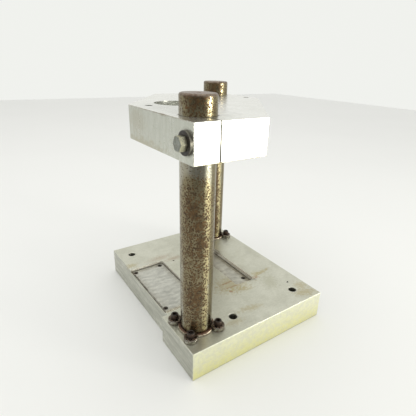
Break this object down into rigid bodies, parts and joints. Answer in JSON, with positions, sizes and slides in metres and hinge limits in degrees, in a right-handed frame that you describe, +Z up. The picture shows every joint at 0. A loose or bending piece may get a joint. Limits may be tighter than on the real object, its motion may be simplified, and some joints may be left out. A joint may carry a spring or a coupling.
{
  "type": "die set with guide posts",
  "caption": "Open die set: thick aluminium lower shoe, diagonal steel guide posts held by toe clamps, and a hexagonal upper block that slides on the posts and is pinched by bolts.",
  "frame": {"origin": "middle of the bounding box at the underside of the lower shoe, on the table", "axes": "+Z up along the guide posts; Y along the long side of the shoe with the front face toward -Y; +X to the right as seen from the front"},
  "size_m": [0.2946, 0.3428, 0.3937],
  "materials": {
    "shoe_aluminium": "milled, dull, faint brown stains",
    "block_aluminium": "satin milled, bright top",
    "recess_plate_alloy": "wavy tool marks, grey",
    "dark_screw": "black oxide, dusty",
    "rusty_post_steel": "ground steel with brown rust spots",
    "rusted_collar_steel": "heavy red-brown rust",
    "clamp_steel": "dark grey steel with rust film",
    "black_cap_screw": "black oxide going brown",
    "zinc_bolt": "yellowed zinc plate",
    "black_washer": "black oxide"
  },
  "bodies": {
    "shoe": {"lower_shoe": "shoe_aluminium", "left_recess_plate": "recess_plate_alloy", "centre_recess_plate": "recess_plate_alloy", "left_plate_screw_1": "dark_screw", "left_plate_screw_2": "dark_screw", "left_plate_screw_3": "dark_screw", "left_plate_screw_4": "dark_screw", "centre_plate_screw_1": "dark_screw", "centre_plate_screw_2": "dark_screw", "near_guide_post": "rusty_post_steel", "near_post_collar": "rusted_collar_steel", "near_toe_clamp_1": "clamp_steel", "near_toe_clamp_2": "clamp_steel", "near_toe_clamp_3": "clamp_steel", "near_toe_clamp_4": "clamp_steel", "rear_guide_post": "rusty_post_steel", "rear_post_collar": "rusted_collar_steel", "rear_toe_clamp_1": "clamp_steel", "rear_toe_clamp_2": "clamp_steel", "rear_toe_clamp_3": "clamp_steel", "rear_toe_clamp_4": "clamp_steel"},
    "block": {"upper_block": "block_aluminium", "near_pinch_washer": "black_washer", "rear_pinch_washer": "black_washer"},
    "near_bolt": {"near_pinch_bolt": "zinc_bolt"},
    "near_screw_1": {"near_clamp_screw_1": "black_cap_screw"},
    "near_screw_2": {"near_clamp_screw_2": "black_cap_screw"},
    "near_screw_3": {"near_clamp_screw_3": "black_cap_screw"},
    "near_screw_4": {"near_clamp_screw_4": "black_cap_screw"},
    "rear_bolt": {"rear_pinch_bolt": "zinc_bolt"},
    "rear_screw_1": {"rear_clamp_screw_1": "black_cap_screw"},
    "rear_screw_2": {"rear_clamp_screw_2": "black_cap_screw"},
    "rear_screw_3": {"rear_clamp_screw_3": "black_cap_screw"},
    "rear_screw_4": {"rear_clamp_screw_4": "black_cap_screw"}
  },
  "joints": [
    {"name": "block_height", "type": "slide", "parent": "shoe", "child": "block", "axis": [0, 0, 1], "range_m": [-0.24, 0.024]},
    {"name": "near_pinch_bolt_turn", "type": "hinge", "parent": "block", "child": "near_bolt", "pos_m": [-0.13875, -0.1548, 0.34355], "axis": [-1, 0, 0], "range_deg": [-180, 180]},
    {"name": "near_clamp_screw_1_turn", "type": "hinge", "parent": "shoe", "child": "near_screw_1", "pos_m": [-0.12285, -0.14505, 0.0568], "axis": [0, 0, 1], "range_deg": [-180, 180]},
    {"name": "near_clamp_screw_2_turn", "type": "hinge", "parent": "shoe", "child": "near_screw_2", "pos_m": [-0.07435, -0.14505, 0.0568], "axis": [0, 0, 1], "range_deg": [-180, 180]},
    {"name": "near_clamp_screw_3_turn", "type": "hinge", "parent": "shoe", "child": "near_screw_3", "pos_m": [-0.07435, -0.09655, 0.0568], "axis": [0, 0, 1], "range_deg": [-180, 180]},
    {"name": "near_clamp_screw_4_turn", "type": "hinge", "parent": "shoe", "child": "near_screw_4", "pos_m": [-0.12285, -0.09655, 0.0568], "axis": [0, 0, 1], "range_deg": [-180, 180]},
    {"name": "rear_pinch_bolt_turn", "type": "hinge", "parent": "block", "child": "rear_bolt", "pos_m": [0.13875, 0.1573, 0.34355], "axis": [1, 0, 0], "range_deg": [-180, 180]},
    {"name": "rear_clamp_screw_1_turn", "type": "hinge", "parent": "shoe", "child": "rear_screw_1", "pos_m": [0.07125, 0.09905, 0.0568], "axis": [0, 0, 1], "range_deg": [-180, 180]},
    {"name": "rear_clamp_screw_2_turn", "type": "hinge", "parent": "shoe", "child": "rear_screw_2", "pos_m": [0.11975, 0.09905, 0.0568], "axis": [0, 0, 1], "range_deg": [-180, 180]},
    {"name": "rear_clamp_screw_3_turn", "type": "hinge", "parent": "shoe", "child": "rear_screw_3", "pos_m": [0.11975, 0.14755, 0.0568], "axis": [0, 0, 1], "range_deg": [-180, 180]},
    {"name": "rear_clamp_screw_4_turn", "type": "hinge", "parent": "shoe", "child": "rear_screw_4", "pos_m": [0.07125, 0.14755, 0.0568], "axis": [0, 0, 1], "range_deg": [-180, 180]}
  ]
}
